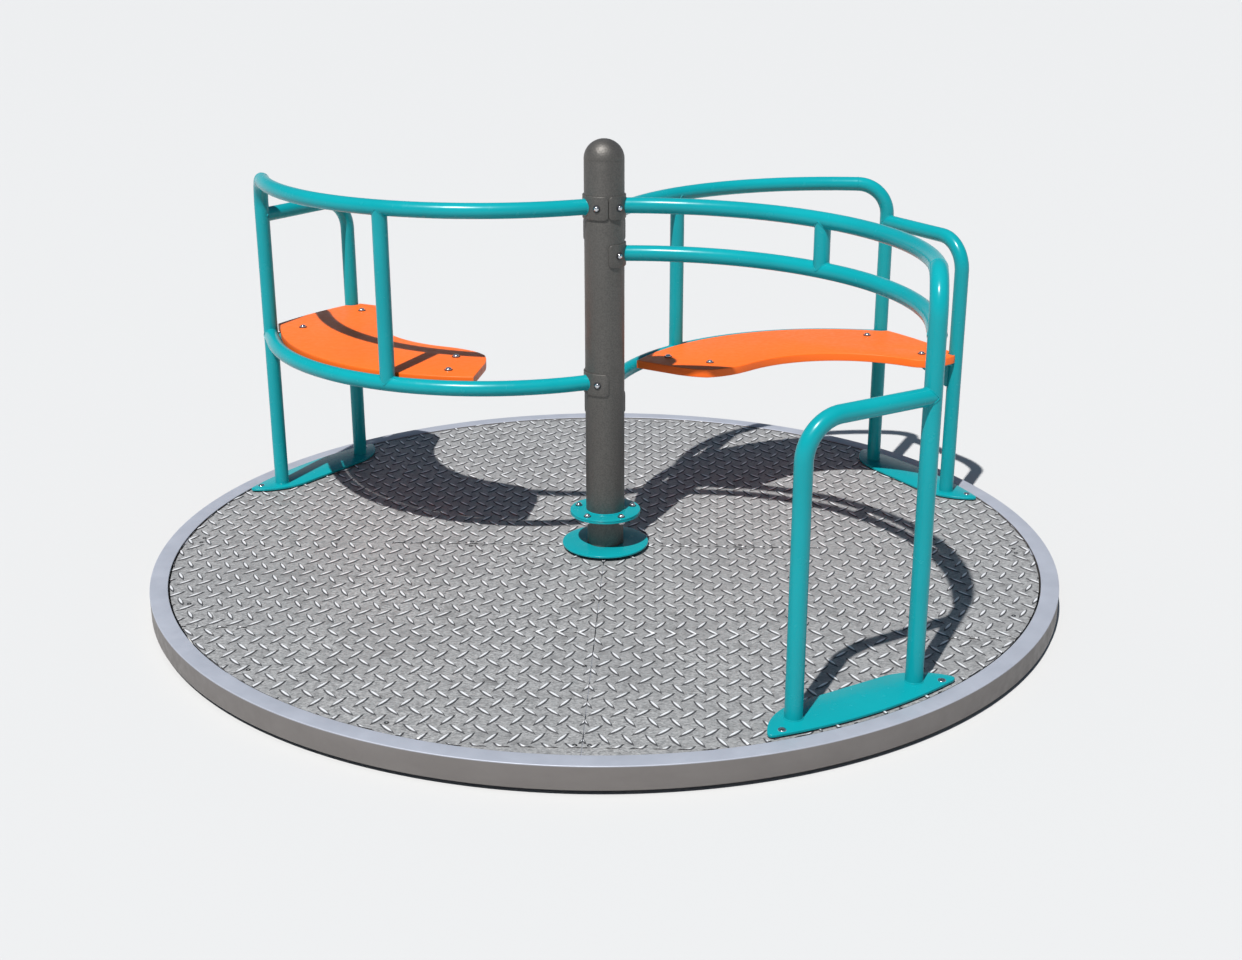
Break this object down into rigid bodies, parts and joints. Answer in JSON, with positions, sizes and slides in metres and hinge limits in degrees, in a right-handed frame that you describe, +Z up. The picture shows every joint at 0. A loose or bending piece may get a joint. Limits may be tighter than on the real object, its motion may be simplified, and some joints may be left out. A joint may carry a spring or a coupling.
{
  "type": "playground merry-go-round",
  "caption": "Round tread-plate platform that spins on a low ground base, with a centre post, curved tube rails, crescent seats and hoop handles.",
  "frame": {"origin": "on the spin axis at the ground, centre of the base plate's underside", "axes": "+Z up along the spin axis, +X to the right and +Y away as seen from the front"},
  "size_m": [2, 2, 0.97],
  "materials": {
    "teal_steel": "gloss",
    "dark_steel": "satin",
    "galvanised_steel": "matte",
    "tread_plate": "satin",
    "zinc_hardware": "gloss",
    "bearing_steel": "satin",
    "orange_board": "satin",
    "seal_rubber": "matte"
  },
  "bodies": {
    "base": {"base_plate": "galvanised_steel", "spindle_socket": "galvanised_steel", "spindle": "bearing_steel", "lower_bearing_cone": "bearing_steel", "upper_bearing_cone": "bearing_steel", "lock_nut": "zinc_hardware"},
    "platform": {"centre_post": "dark_steel", "deck_collar": "teal_steel", "deck_quarter_1": "tread_plate", "deck_quarter_2": "tread_plate", "deck_quarter_3": "tread_plate", "deck_quarter_4": "tread_plate", "flange_stud_ring": "zinc_hardware", "grease_seal": "seal_rubber", "hub_housing": "teal_steel", "lower_bearing_cup": "bearing_steel", "post_cap": "dark_steel", "post_flange": "teal_steel", "rim_ring": "galvanised_steel", "spoke_1": "galvanised_steel", "spoke_2": "galvanised_steel", "spoke_3": "galvanised_steel", "spoke_4": "galvanised_steel", "spoke_5": "galvanised_steel", "spoke_6": "galvanised_steel", "spoke_7": "galvanised_steel", "spoke_8": "galvanised_steel", "upper_bearing_cup": "bearing_steel", "wing_a_foot_plate": "teal_steel", "wing_a_hoop": "teal_steel", "wing_a_leg_bracket_1": "teal_steel", "wing_a_leg_bracket_2": "teal_steel", "wing_a_lower_saddle": "dark_steel", "wing_a_mid_post": "teal_steel", "wing_a_outer_post": "teal_steel", "wing_a_rail_bracket": "teal_steel", "wing_a_seat": "orange_board", "wing_a_seat_rail": "teal_steel", "wing_a_top_rail": "teal_steel", "wing_a_top_saddle": "dark_steel", "wing_b_foot_plate": "teal_steel", "wing_b_hoop": "teal_steel", "wing_b_leg_bracket_1": "teal_steel", "wing_b_leg_bracket_2": "teal_steel", "wing_b_lower_saddle": "dark_steel", "wing_b_mid_post": "teal_steel", "wing_b_outer_post": "teal_steel", "wing_b_rail_bracket": "teal_steel", "wing_b_seat": "orange_board", "wing_b_seat_rail": "teal_steel", "wing_b_top_rail": "teal_steel", "wing_b_top_saddle": "dark_steel", "wing_c_foot_plate": "teal_steel", "wing_c_hoop": "teal_steel", "wing_c_lower_saddle": "dark_steel", "wing_c_outer_post": "teal_steel", "wing_c_second_rail": "teal_steel", "wing_c_strut": "teal_steel", "wing_c_top_rail": "teal_steel", "wing_c_top_saddle": "dark_steel"}
  },
  "joints": [
    {"name": "platform_spin", "type": "hinge", "parent": "base", "child": "platform", "pos_m": [0, 0, 0.1], "axis": [0, 0, 1], "continuous": true}
  ]
}
